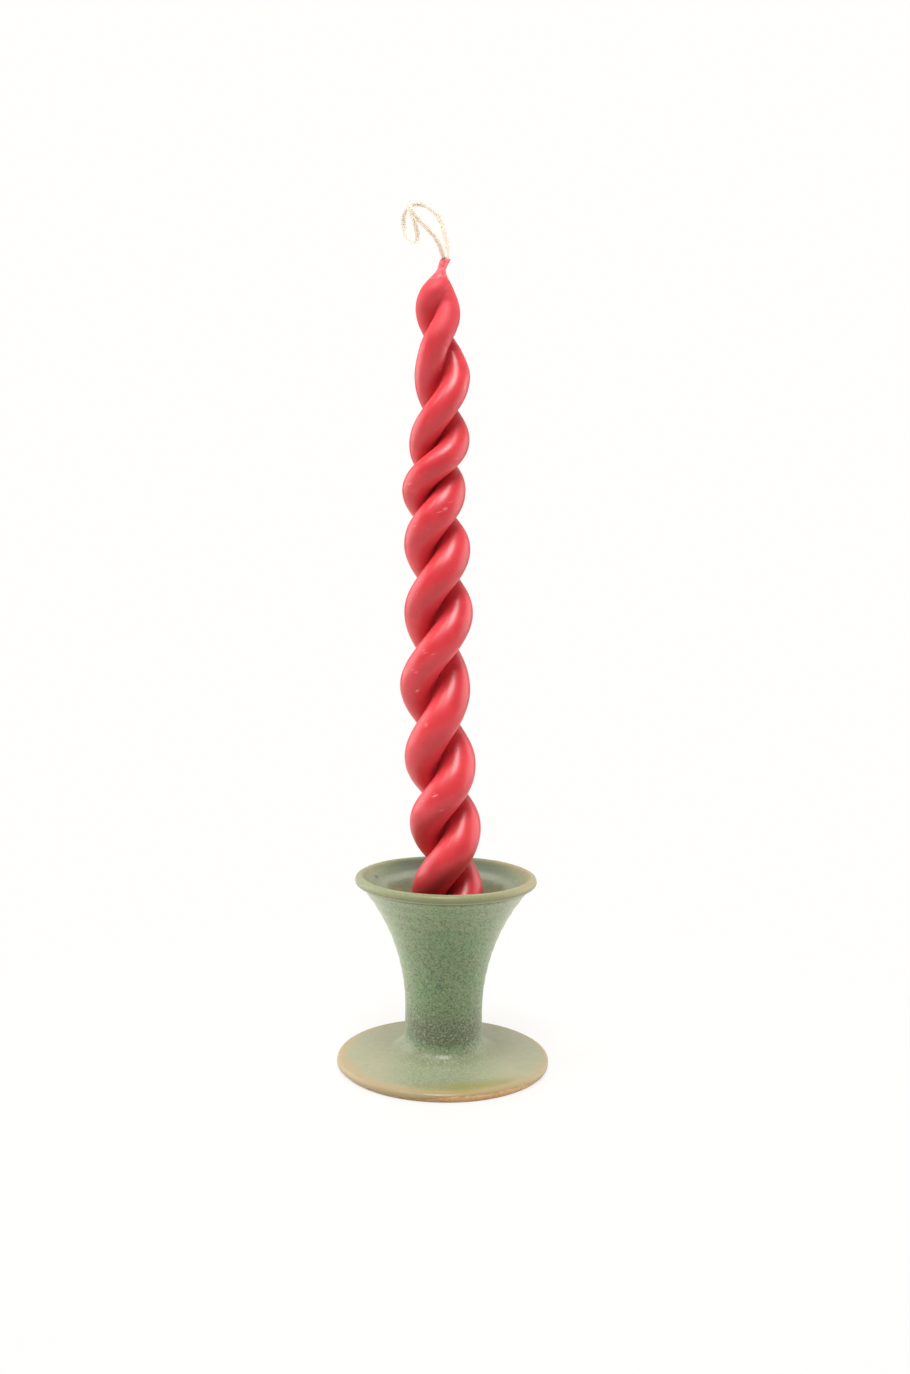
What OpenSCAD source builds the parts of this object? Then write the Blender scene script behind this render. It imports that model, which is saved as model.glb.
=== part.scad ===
// Two hand-dipped tapers on one wick, twisted into a rope, standing in a thrown stoneware holder.
// Millimetres. +Z is up, -Y is the front, and the origin is the middle of the foot's underside.

/* [Holder] */
// Diameter of the foot
foot_d = 76; // [70:1:90]
// Thickness of the foot at its rounded edge
foot_edge = 3.6; // [3:0.1:5]
// Rise of the foot's upper face from its edge to the stem
foot_rise = 2.2; // [1.5:0.1:4]
// Radius of the hollow curve between foot and stem
foot_fillet = 7.5; // [5:0.5:9]
// Diameter of the stem at its narrowest
stem_d = 27.6; // [26:0.2:32]
// Height at which the stem starts to flare
flare_z = 20; // [18:0.5:26]
// Diameter across the lip
lip_d = 64; // [60:0.5:74]
// Thickness of the rounded lip
lip_t = 3; // [2.4:0.1:3.6]
// How far the lip stands out past the flare below it
lip_lap = 0.3; // [0.1:0.1:0.8]
// Height of the holder to the top of its lip
holder_h = 68.5; // [66:0.5:80]

/* [Drip dish and socket] */
// Diameter of the dish's floor
dish_d = 50; // [44:0.5:52]
// Depth of the dish at the edge of its floor
dish_depth = 3.3; // [2.5:0.1:5]
// Further fall of the floor from its edge to the socket
dish_fall = 4.2; // [2:0.1:5]
// Radius of the curve where the dish's side meets its floor
dish_fillet = 12; // [6:0.5:16]
// Depth of the socket below the dish
socket_depth = 21; // [16:0.5:26]
// Clearance all round between the candle and the socket
socket_clear = 0.9; // [0.8:0.1:1.5]
// Clearance under the candle's foot
seat_clear = 0.1; // [0.05:0.05:0.3]

/* [Candle] */
// Diameter of each taper at its foot
taper_d = 12.7; // [11:0.1:13.5]
// How much each taper has thinned by its tip
taper_thinning = 5.3; // [3:0.1:6]
// Length of the wax
wax_h = 243; // [200:1:280]
// Height of the shoulder below the neck
shoulder_h = 16.5; // [14:0.5:26]
// Height of the end, below the neck, where both tapers are pressed into one round
end_h = 8.5; // [5:0.5:12]
// Height of the pinched neck
neck_h = 3.5; // [2:0.5:6]
// Wax left round the wick at the neck
neck_film = 0.2; // [0.15:0.05:0.5]

/* [Wick] */
// Diameter of the wick
wick_d = 1.9; // [1.4:0.1:2.2]

/* [Hidden] */

// Steps in a full circle
$fn = 128;

// Holder outline, as [radius, height]
foot_r = foot_d / 2;
stem_r = stem_d / 2;
lip_r = lip_t / 2;
lip_c = [lip_d / 2 - lip_r, holder_h - lip_r];
edge_c = [foot_r - foot_edge / 2, foot_edge / 2];
foot_slope = atan(foot_rise / (edge_c[0] - stem_r));
foot_corner = [stem_r, foot_edge + foot_rise];
flare_top = [lip_d / 2 - lip_lap, lip_c[1]];
flare_run = flare_top - [stem_r, flare_z];
flare_r = (flare_run * flare_run) / (2 * flare_run[0]);

// Dish and socket, each taking its place from the one above it
bore_r = taper_d + socket_clear;
dish_edge = [dish_d / 2, holder_h - dish_depth];
mouth = [bore_r, dish_edge[1] - dish_fall];
seat_z = mouth[1] - socket_depth;
to_lip = lip_c - dish_edge;
side_slope = atan2(to_lip[1], to_lip[0]) + asin(lip_r / norm(to_lip));
side_run = sqrt(to_lip * to_lip - lip_r * lip_r);
floor_slope = 180 + atan2(dish_fall, dish_edge[0] - bore_r);

// Stretches of the twist from the foot up, uneven as twisted by hand: the length of each beside
// the others, and how many degrees it turns
twist = [
    [22.5, 180],
    [24, 180],
    [23, 180],
    [26.5, 180],
    [26, 180],
    [23, 180],
    [19.5, 180],
    [17, 180],
    [22.2, 180],
    [13.9, 90],
    [11.1, 85],
    [6.6, 93],
    [7.8, -8]
];
// Sideways drift of the candle's middle at the foot and at the end of each stretch
drift = [0, 0.6, -0.6, -2.8, -5, -4.2, -5.1, -6.6, -4.9, -4.3, -5.5, -6.4, -6.2, -4.2];
// Power of the length by which a taper thins, so that it stays full near its foot
thinning_power = 3;
// Gap between the two tapers where they press together, at their full thickness
parting = 0.3;

// Rings in each stretch, and sides of each ring
wax_rings = 12;
wax_sides = 16;
wick_rings = 6;
wick_sides = 8;

stretches = len(twist);
lengths = [for (stretch = twist) stretch[0]];
angles = [for (stretch = twist) stretch[1]];
candle_z = seat_z + seat_clear;
wick_r = wick_d / 2;
neck_r = wick_r + neck_film;
knot_z = [for (i = [0 : stretches]) candle_z + wax_h * total(lengths, i) / total(lengths, stretches)];
knot_angle = [for (i = [0 : stretches]) total(angles, i)];
tip = [drift[stretches], 0, knot_z[stretches]];

// Loop of bare wick from taper_a's neck to taper_b's, measured from the tip
loop_points = [
    [0.65, 1.4, 1.05],
    [0.75, 2, 3.35],
    [0.6, 2.3, 5.8],
    [0.15, 2.6, 8.05],
    [-0.5, 2.9, 10.3],
    [-1.2, 3.2, 12.55],
    [-2.1, 3.3, 14.55],
    [-3.3, 3.4, 16.3],
    [-4.9, 3.95, 17.75],
    [-6.85, 4.85, 18.9],
    [-8.95, 5.1, 19.65],
    [-10.85, 5.2, 19.65],
    [-12.55, 5.45, 18.95],
    [-13.8, 5.85, 17.7],
    [-14.55, 6.4, 15.9],
    [-14.7, 7.35, 13.7],
    [-14.35, 7.65, 11.5],
    [-13.35, 7.1, 9.35],
    [-11.7, 5.6, 7.6],
    [-10.45, 3.65, 7.05],
    [-9.7, 1.55, 7.4],
    [-9.55, -0.35, 8.5],
    [-9.9, -1.65, 10.05],
    [-10.4, -2.3, 11.7],
    [-11.25, -2.65, 13.7],
    [-12, -3.45, 15.5],
    [-12.65, -5, 16.8],
    [-13, -7.05, 17.4],
    [-13.05, -9.2, 17.1],
    [-12.7, -11.05, 15.9],
    [-11.9, -12.35, 14],
    [-10.75, -12.6, 12.2],
    [-9.35, -11.95, 10.65],
    [-7.85, -10.2, 9.45],
    [-5.95, -6.95, 8.4],
    [-4.1, -5.25, 6.95],
    [-2.65, -4.45, 5.15],
    [-1.6, -3.6, 3.3],
    [-0.85, -2.3, 1.5]
];
// Rings of the loop's tube in each step of its route
loop_rings = 2;

function along(angle) = [cos(angle), sin(angle)];

// Sum of a list's first n values
function total(list, n) = n == 0 ? 0 : list[n - 1] + total(list, n - 1);

// Smooth curve through a list's values, at position t counted in list steps
function smooth(list, t) =
    let (
        last = len(list) - 1,
        i = min(floor(t), last - 1),
        u = t - i,
        b = list[i],
        c = list[i + 1],
        a = i > 0 ? list[i - 1] : 2 * b - c,
        d = i < last - 1 ? list[i + 2] : 2 * c - b
    )
    b + u / 2 * (c - a + u * (2 * a - 5 * b + 4 * c - d + u * (3 * (b - c) + d - a)));

// Radius of each taper at height z, which is also how far its middle stands off the twist's axis
function taper_r(z) =
    let (
        neck_z = tip[2] - neck_h,
        full = (taper_d - taper_thinning * pow((z - candle_z) / wax_h, thinning_power)) / 2,
        s = min(1, max(0, (z - neck_z + shoulder_h) / shoulder_h))
    )
    neck_r + (full - neck_r) * (1 - s * s);

// Smooth rise from 0 at low to 1 at high
function ramp(x, low, high) =
    let (s = min(1, max(0, (x - low) / (high - low))))
    s * s * (3 - 2 * s);

// How far the tapers are pressed into one round at height z, from 0 to 1
function pressed(z) =
    let (neck_z = tip[2] - neck_h)
    ramp(z, neck_z - end_h, neck_z - end_h / 2) * (1 - ramp(z, neck_z - neck_h / 2, neck_z + neck_h / 2));

// Twist in degrees for each millimetre of height, t stretches up
function twist_rate(t) =
    let (
        step = 0.01,
        low = max(0, t - step),
        high = min(stretches, t + step)
    )
    (smooth(knot_angle, high) - smooth(knot_angle, low)) / (smooth(knot_z, high) - smooth(knot_z, low));

// Level slice, t stretches up, through a round rod of radius r on the middle line of a taper.
// Without r, it is the taper itself. The rod leans along its helix, so the slice is curved round
// the twist's axis, and it stops at the plane between the two tapers. Where the tapers are pressed
// into one round, three quarters of the slice's outline run round half of it, and the rest is flat.
function slice(t, start, sides, r) =
    let (
        z = smooth(knot_z, t),
        stand_off = taper_r(z),
        rod_r = is_undef(r) ? stand_off : r,
        rate = twist_rate(t),
        lean = atan(stand_off * rate * PI / 180),
        press = is_undef(r) ? pressed(z) : 0,
        turn = start + smooth(knot_angle, t)
    )
    [
        for (i = [0 : sides - 1])
            let (
                psi = 360 * i / sides,
                bend = rod_r * sin(psi) * sin(lean) * rate,
                out = stand_off + rod_r * cos(psi),
                side = rod_r * sin(psi) * cos(lean),
                way = psi > 180 ? psi - 360 : psi,
                is_round = abs(way) < 135,
                half_u = is_round ? 2 * stand_off * cos(way * 2 / 3) : 0,
                half_v = 2 * stand_off * (is_round ? sin(way * 2 / 3) : sign(way) * (180 - abs(way)) / 45),
                free_u = out * cos(bend) - side * sin(bend),
                free_v = out * sin(bend) + side * cos(bend),
                u = max(parting * stand_off / taper_d, free_u + press * (half_u - free_u)),
                v = free_v + press * (half_v - free_v)
            )
            [smooth(drift, t) + u * cos(turn) - v * sin(turn), u * sin(turn) + v * cos(turn), z]
    ];

// All the slices of a rod from the candle's foot to its neck, as one list of points
function rod_points(start, sides, rings, r) =
    [for (i = [0 : stretches * rings]) each slice(i / rings, start, sides, r)];

// Faces of a tube's skin, from point number first on. A channel's skin is turned inside out.
function skin(rings, sides, first = 0, inside = false) =
    [
        for (i = [0 : rings - 2])
            for (j = [0 : sides - 1])
                let (
                    k = (j + 1) % sides,
                    a = first + i * sides + j,
                    b = first + i * sides + k,
                    c = a + sides,
                    d = b + sides
                )
                each inside ? [[a, b, c], [c, b, d]] : [[a, c, b], [c, d, b]]
    ];

// Ring-shaped face between a taper's end, from point out on, and its channel's end, from point in on
function end_ring(out, in, top) =
    [
        for (i = [0 : wick_sides - 1])
            let (
                a = out + 2 * i,
                b = a + 1,
                c = out + (2 * i + 2) % wax_sides,
                d = in + i,
                e = in + (i + 1) % wick_sides
            )
            each top ? [[d, b, a], [d, e, b], [e, c, b]] : [[a, b, d], [b, e, d], [b, c, e]]
    ];

// The two flat ends of a plain tube
function plugs(rings, sides) =
    [
        [for (j = [0 : sides - 1]) j],
        [for (j = [sides - 1 : -1 : 0]) (rings - 1) * sides + j]
    ];

// One dipped taper wound round the twist's axis, with its wick's channel
module taper(start) {
    outer = rod_points(start, wax_sides, wax_rings);
    channel = rod_points(start, wick_sides, wick_rings, wick_r);
    outer_rings = stretches * wax_rings + 1;
    channel_rings = stretches * wick_rings + 1;
    first = len(outer);
    polyhedron(
        concat(outer, channel),
        concat(
            skin(outer_rings, wax_sides),
            skin(channel_rings, wick_sides, first, true),
            end_ring(0, first, false),
            end_ring(first - wax_sides, first + len(channel) - wick_sides, true)
        )
    );
}

// The wick that fills a taper's channel
module wick_core(start) {
    rings = stretches * wick_rings + 1;
    polyhedron(
        rod_points(start, wick_sides, wick_rings, wick_r),
        concat(skin(rings, wick_sides), plugs(rings, wick_sides))
    );
}

// Where the wick leaves the neck of the taper that starts at that angle
function neck_point(start) =
    let (turn = start + knot_angle[stretches])
    tip + [neck_r * cos(turn), neck_r * sin(turn), 0];

// Each direction's normal, carried from ring to ring so that the tube doesn't twist
function carried(ways, n, i = 0) =
    i == len(ways) ? [] :
    let (
        m = n - (n * ways[i]) * ways[i],
        unit = m / norm(m)
    )
    concat([unit], carried(ways, unit, i + 1));

// Foot, stem, flared cup, lip, dish and socket, turned from one outline.
// The outline runs to the centre of the foot's hollow curve, and a circle there cuts the curve.
// Where the dish's side meets its floor, the outline runs straight across, and a circle cuts a
// hollow below that line, or adds a crest above it where the floor falls more steeply than the side.
module holder() {
    foot_tan = foot_fillet * tan((90 - foot_slope) / 2);
    fillet_c = foot_corner + [foot_fillet, foot_tan];
    hollow = side_slope + 180 - floor_slope;
    dish_tan = dish_fillet * tan(abs(hollow) / 2);
    side_end = dish_edge + dish_tan * along(side_slope);
    floor_end = dish_edge + dish_tan * along(floor_slope);
    dish_c = side_end + sign(hollow) * dish_fillet * along(side_slope + 90);
    color("#7d9a7b")
        rotate_extrude() {
            difference() {
                polygon([
                    [0, 0],
                    [edge_c[0], 0],
                    [edge_c[0], foot_edge],
                    foot_corner + foot_tan * along(-foot_slope),
                    fillet_c,
                    [stem_r, fillet_c[1]],
                    [stem_r, flare_z],
                    flare_top,
                    lip_c,
                    dish_edge + side_run * along(side_slope),
                    side_end,
                    floor_end,
                    mouth,
                    [bore_r, seat_z],
                    [0, seat_z]
                ]);
                translate(fillet_c)
                    circle(foot_fillet);
                if (hollow > 0)
                    translate(dish_c)
                        circle(dish_fillet);
                intersection() {
                    translate([stem_r + flare_r, flare_z])
                        circle(flare_r);
                    translate([stem_r, flare_z])
                        square(flare_r);
                }
            }
            if (hollow < 0)
                intersection() {
                    translate(dish_c)
                        circle(dish_fillet);
                    polygon([side_end, dish_edge, floor_end]);
                }
            translate(edge_c)
                circle(foot_edge / 2);
            translate(lip_c)
                circle(lip_r);
        }
}

module taper_a() {
    color("#c22c3c")
        taper(0);
}

module taper_b() {
    color("#c22c3c")
        taper(180);
}

module wick_core_a() {
    color("#efe6d4")
        wick_core(0);
}

module wick_core_b() {
    color("#efe6d4")
        wick_core(180);
}

// The bare loop, which leaves each neck straight up
module wick_loop() {
    route = concat([neck_point(0)], [for (p = loop_points) tip + p], [neck_point(180)]);
    last = (len(route) - 1) * loop_rings;
    middles = [for (i = [0 : last]) smooth(route, i / loop_rings)];
    ways = [
        for (i = [0 : last])
            let (way = middles[min(last, i + 1)] - middles[max(0, i - 1)])
            i == 0 ? [0, 0, 1] : i == last ? [0, 0, -1] : way / norm(way)
    ];
    normals = carried(ways, [1, 0, 0]);
    points = [
        for (i = [0 : last])
            for (j = [0 : wick_sides - 1])
                let (psi = 360 * j / wick_sides)
                middles[i] + wick_r * (cos(psi) * normals[i] + sin(psi) * cross(ways[i], normals[i]))
    ];
    color("#efe6d4")
        polyhedron(points, concat(skin(last + 1, wick_sides), plugs(last + 1, wick_sides)));
}

holder();
taper_a();
taper_b();
wick_core_a();
wick_core_b();
wick_loop();
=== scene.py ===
"""The looks of two dipped tapers, twisted on one wick, in a thrown and glazed stoneware holder.

Lengths are millimetres and angles are degrees, as in the part's own source. Meshes are made in metres.
"""

import math

import bpy
import numpy as np
from mathutils import Matrix, Vector, noise


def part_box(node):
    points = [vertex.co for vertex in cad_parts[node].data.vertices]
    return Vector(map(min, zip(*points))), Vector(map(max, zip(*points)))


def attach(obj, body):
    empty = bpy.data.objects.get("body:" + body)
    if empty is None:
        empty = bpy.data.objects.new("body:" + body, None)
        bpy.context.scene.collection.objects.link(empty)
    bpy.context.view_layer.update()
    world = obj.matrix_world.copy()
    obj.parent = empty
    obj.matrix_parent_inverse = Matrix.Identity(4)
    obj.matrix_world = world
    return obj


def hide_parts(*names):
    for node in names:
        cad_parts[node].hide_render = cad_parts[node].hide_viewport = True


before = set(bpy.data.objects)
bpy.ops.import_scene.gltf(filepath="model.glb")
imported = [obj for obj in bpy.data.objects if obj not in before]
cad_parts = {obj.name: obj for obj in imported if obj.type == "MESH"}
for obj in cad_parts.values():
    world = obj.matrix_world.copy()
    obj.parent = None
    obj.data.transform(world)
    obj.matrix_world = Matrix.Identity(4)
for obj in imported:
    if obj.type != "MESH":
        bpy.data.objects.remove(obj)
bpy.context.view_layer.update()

MM = 0.001

# Camera, as fitted to the photograph
IMAGE_W = 910
IMAGE_H = 1374
LENS = 35
SENSOR = 36
CAMERA_AT = np.array([2.0, -468.8, 175.9])
CAMERA_PITCH = 4.87
CAMERA_ROLL = 1.03

# Holder
HOLDER_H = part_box("holder")[1].z / MM
FOOT_R = 38.0
FOOT_EDGE = 3.6
FOOT_RISE = 2.2
FOOT_FILLET = 7.5
STEM_R = 13.8
FLARE_Z = 20.0
LIP_D = 64.0
LIP_R = 1.5
LIP_LAP = 0.3
DISH_R = 25.0
DISH_DEPTH = 3.3
DISH_FALL = 4.2
DISH_FILLET = 12.0
BORE_R = 13.6
MOUTH_ROUND = 0.8
SOCKET_DEPTH = 21.0

# Candle
CANDLE_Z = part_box("taper_a")[0].z / MM
WAX_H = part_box("taper_a")[1].z / MM - CANDLE_Z
TAPER_D = 12.7
THINNING = 5.3
THINNING_POWER = 3
SHOULDER_H = 16.5
END_H = 8.5
NECK_H = 3.5
NECK_FILM = 0.2
# Angles at which the two tapers start
STARTS = (0, 180)
# Stretches of the twist from the foot up: the length of each beside the others, and its turn
TWIST = [
    (22.5, 180),
    (24, 180),
    (23, 180),
    (26.5, 180),
    (26, 180),
    (23, 180),
    (19.5, 180),
    (17, 180),
    (22.2, 180),
    (13.9, 90),
    (11.1, 85),
    (6.6, 93),
    (7.8, -8),
]
DRIFT = [0, 0.6, -0.6, -2.8, -5, -4.2, -5.1, -6.6, -4.9, -4.3, -5.5, -6.4, -6.2, -4.2]

# Wick, whose loop is measured from the candle's tip
WICK_R = 0.95
LOOP_POINTS = [
    [0.65, 1.4, 1.05],
    [0.75, 2, 3.35],
    [0.6, 2.3, 5.8],
    [0.15, 2.6, 8.05],
    [-0.5, 2.9, 10.3],
    [-1.2, 3.2, 12.55],
    [-2.1, 3.3, 14.55],
    [-3.3, 3.4, 16.3],
    [-4.9, 3.95, 17.75],
    [-6.85, 4.85, 18.9],
    [-8.95, 5.1, 19.65],
    [-10.85, 5.2, 19.65],
    [-12.55, 5.45, 18.95],
    [-13.8, 5.85, 17.7],
    [-14.55, 6.4, 15.9],
    [-14.7, 7.35, 13.7],
    [-14.35, 7.65, 11.5],
    [-13.35, 7.1, 9.35],
    [-11.7, 5.6, 7.6],
    [-10.45, 3.65, 7.05],
    [-9.7, 1.55, 7.4],
    [-9.55, -0.35, 8.5],
    [-9.9, -1.65, 10.05],
    [-10.4, -2.3, 11.7],
    [-11.25, -2.65, 13.7],
    [-12, -3.45, 15.5],
    [-12.65, -5, 16.8],
    [-13, -7.05, 17.4],
    [-13.05, -9.2, 17.1],
    [-12.7, -11.05, 15.9],
    [-11.9, -12.35, 14],
    [-10.75, -12.6, 12.2],
    [-9.35, -11.95, 10.65],
    [-7.85, -10.2, 9.45],
    [-5.95, -6.95, 8.4],
    [-4.1, -5.25, 6.95],
    [-2.65, -4.45, 5.15],
    [-1.6, -3.6, 3.3],
    [-0.85, -2.3, 1.5],
]

NECK_R = WICK_R + NECK_FILM
stretches = len(TWIST)
lengths, angles = np.array(TWIST, float).T
knot_z = CANDLE_Z + WAX_H * np.concatenate([[0], np.cumsum(lengths)]) / lengths.sum()
knot_angle = np.concatenate([[0], np.cumsum(angles)])
tip = np.array([DRIFT[-1], 0, knot_z[-1]])


# Small helpers


def smooth(values, t):
    """Curve through the values, at positions t counted in list steps."""
    v = np.asarray(values, float)
    ends = [2 * v[:1] - v[1:2], v, 2 * v[-1:] - v[-2:-1]]
    v = np.concatenate(ends)
    i = np.clip(np.floor(t).astype(int), 0, len(v) - 4)
    u = (t - i).reshape(t.shape + (1,) * (v.ndim - 1))
    a, b, c, d = v[i], v[i + 1], v[i + 2], v[i + 3]
    return b + u / 2 * (c - a + u * (2 * a - 5 * b + 4 * c - d + u * (3 * (b - c) + d - a)))


def step(x, low, high):
    """0 below low, 1 above high, and smooth in between."""
    s = np.clip((x - low) / (high - low), 0, 1)
    return s * s * (3 - 2 * s)


# How far apart the noise of one seed is from the next one's
SEED_SHIFT = np.array([17.3, 41.9, 29.7])


def rough(points, size, seed):
    """Smooth noise from about -1 to 1 at each point, with lumps of that size."""
    flat = points.reshape(-1, 3) / size + seed * SEED_SHIFT
    values = [noise.noise(Vector(p)) for p in flat]
    return np.array(values).reshape(points.shape[:-1])


def unit(vectors):
    """The same directions, one long."""
    return vectors / np.linalg.norm(vectors, axis=-1, keepdims=True)


def grid_normals(points):
    """Outward normal at each point of a tube's rings, which run anticlockwise seen from their far end."""
    along = np.gradient(points, axis=0)
    around = np.roll(points, -1, axis=1) - np.roll(points, 1, axis=1)
    return unit(np.cross(around, along))


def to_pixels(points):
    """Column, row and depth of each point in the photograph's frame."""
    pitch = math.radians(CAMERA_PITCH)
    roll = math.radians(CAMERA_ROLL)
    x, y, z = np.moveaxis(points - CAMERA_AT, -1, 0)
    depth = y * math.cos(pitch) - z * math.sin(pitch)
    scale = LENS / SENSOR * IMAGE_H / depth
    right = x * scale
    down = -(y * math.sin(pitch) + z * math.cos(pitch)) * scale
    col = IMAGE_W / 2 + right * math.cos(roll) - down * math.sin(roll)
    row = IMAGE_H / 2 + right * math.sin(roll) + down * math.cos(roll)
    return col, row, depth


def tube_faces(rings, sides, first=0, inside=False):
    """Four-sided faces of a tube's skin, from point number first on."""
    faces = []
    for i in range(rings - 1):
        for j in range(sides):
            k = (j + 1) % sides
            a = first + i * sides
            face = (a + j, a + k, a + sides + k, a + sides + j)
            faces.append(face[::-1] if inside else face)
    return faces


def end_faces(rings, sides, first=0):
    """The two flat ends of a tube."""
    bottom = tuple(first + j for j in reversed(range(sides)))
    top = tuple(first + (rings - 1) * sides + j for j in range(sides))
    return [bottom, top]


def make_piece(name, points, faces, material, body, marks=None):
    """A smooth mesh in metres that rides on a body, with a value for each point of each of its marks."""
    mesh = bpy.data.meshes.new(name)
    mesh.from_pydata((points.reshape(-1, 3) * MM).tolist(), [], faces)
    mesh.polygons.foreach_set("use_smooth", [True] * len(mesh.polygons))
    for mark, values in (marks or {}).items():
        attribute = mesh.attributes.new(mark, "FLOAT", "POINT")
        attribute.data.foreach_set("value", np.ravel(values).astype(np.float32))
    mesh.materials.append(material)
    piece = bpy.data.objects.new(name, mesh)
    bpy.context.scene.collection.objects.link(piece)
    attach(piece, body)
    return piece


# Camera


def make_camera():
    """The camera from which the photograph was taken."""
    data = bpy.data.cameras.new("camera")
    data.lens = LENS
    data.sensor_width = SENSOR
    camera = bpy.data.objects.new("camera", data)
    tilt = Matrix.Rotation(math.radians(90 - CAMERA_PITCH), 3, "X")
    roll = Matrix.Rotation(math.radians(CAMERA_ROLL), 3, "Z")
    camera.rotation_euler = (tilt @ roll).to_euler()
    camera.location = CAMERA_AT * MM
    bpy.context.scene.collection.objects.link(camera)
    bpy.context.scene.camera = camera


# Materials


def put(socket, value):
    """Links a socket to another node's output, or sets its own value."""
    if isinstance(value, bpy.types.NodeSocket):
        socket.id_data.links.new(value, socket)
    else:
        socket.default_value = value


def new_material(name):
    """A material with its node tree and its main shader."""
    material = bpy.data.materials.new(name)
    material.use_nodes = True
    tree = material.node_tree
    return material, tree, tree.nodes["Principled BSDF"]


def grain(tree, size, detail):
    """Noise in the object's own frame, with lumps of about that size."""
    place = tree.nodes.new("ShaderNodeTexCoord")
    node = tree.nodes.new("ShaderNodeTexNoise")
    node.inputs["Scale"].default_value = 1 / (size * MM)
    node.inputs["Detail"].default_value = detail
    put(node.inputs["Vector"], place.outputs["Object"])
    return node.outputs["Fac"]


def between(tree, value, low, high, to_low, to_high):
    """Maps a value from one range to another, smoothly and with flat ends."""
    node = tree.nodes.new("ShaderNodeMapRange")
    node.interpolation_type = "SMOOTHSTEP"
    put(node.inputs["Value"], value)
    node.inputs["From Min"].default_value = low
    node.inputs["From Max"].default_value = high
    node.inputs["To Min"].default_value = to_low
    node.inputs["To Max"].default_value = to_high
    return node.outputs["Result"]


def layer(tree, size, detail, start, full, share):
    """A share that grows from 0 as the noise goes from its start value to the one at which it is full."""
    return between(tree, grain(tree, size, detail), start, full, 0, share)


def mark(tree, name):
    """A value that the mesh holds at its points."""
    node = tree.nodes.new("ShaderNodeAttribute")
    node.attribute_name = name
    return node.outputs["Fac"]


def times(tree, a, b):
    """The product of two values."""
    node = tree.nodes.new("ShaderNodeMath")
    node.operation = "MULTIPLY"
    put(node.inputs[0], a)
    put(node.inputs[1], b)
    return node.outputs[0]


def mix(tree, share, a, b):
    """Colour a, with that share of colour b."""
    node = tree.nodes.new("ShaderNodeMix")
    node.data_type = "RGBA"
    put(node.inputs["Factor"], share)
    sockets = [s for s in node.inputs if s.type == "RGBA"]
    for socket, colour in zip(sockets, (a, b)):
        put(socket, colour if isinstance(colour, bpy.types.NodeSocket) else (*colour, 1))
    return next(s for s in node.outputs if s.type == "RGBA")


def bump(tree, height, depth, strength):
    """Surface normal with that height's bumps, whose depth is in millimetres."""
    node = tree.nodes.new("ShaderNodeBump")
    node.inputs["Strength"].default_value = strength
    node.inputs["Distance"].default_value = depth * MM
    put(node.inputs["Height"], height)
    return node.outputs["Normal"]


SAGE = (0.165, 0.272, 0.114)
BRIGHT_GREEN = (0.130, 0.270, 0.102)
GREY_BROWN = (0.172, 0.228, 0.112)
PAINTED_SHADE = (0.105, 0.118, 0.068)
PALE_CRYSTAL = (0.310, 0.370, 0.225)
DARK_SPECK = (0.050, 0.070, 0.034)
LIP_OLIVE = (0.208, 0.208, 0.092)
CREASE_POOL_AND_SHADE = (0.070, 0.062, 0.026)
DISH_GREY = (0.105, 0.125, 0.080)
LEDGE_PALE_AND_HIGHLIGHT = (0.205, 0.230, 0.150)
DISH_BROWN_AND_SHADE = (0.084, 0.078, 0.016)
PALE_GLAZE_AND_PAINTED_LIGHT = (0.282, 0.266, 0.162)
RIM_TAN = (0.350, 0.255, 0.125)
YELLOW_GREEN = (0.205, 0.172, 0.018)
CLAY = (0.560, 0.300, 0.115)
CLAY_PALE = (0.600, 0.365, 0.170)
PIT_SHADE = (0.030, 0.030, 0.020)
SHEEN = (1.0, 0.970, 0.860)
# Layers of noise: size of the lumps, detail, values at which a layer starts and is full, and its full share
PATCHES = (15, 3, 0.47, 0.62, 1)
CLOUDS = (8, 4, 0.48, 0.66, 0.7)
CRYSTALS = (0.62, 4, 0.44, 0.68, 0.75)
SPECKS = (0.8, 4, 0.46, 0.68, 0.75)
CLAY_GRAIN = (1.3, 4, 0.4, 0.6, 1)
# Roughness of the glaze: size and detail of its noise, the noise's range, and the roughness at both ends
GLAZE_ROUGH = (2.5, 3)
GLAZE_ROUGH_NOISE = (0.3, 0.7)
GLAZE_ROUGH_RANGE = (0.44, 0.6)
# Bumps of a surface: how deep in millimetres, and how strong
GLAZE_BUMP = (0.06, 0.6)


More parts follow.
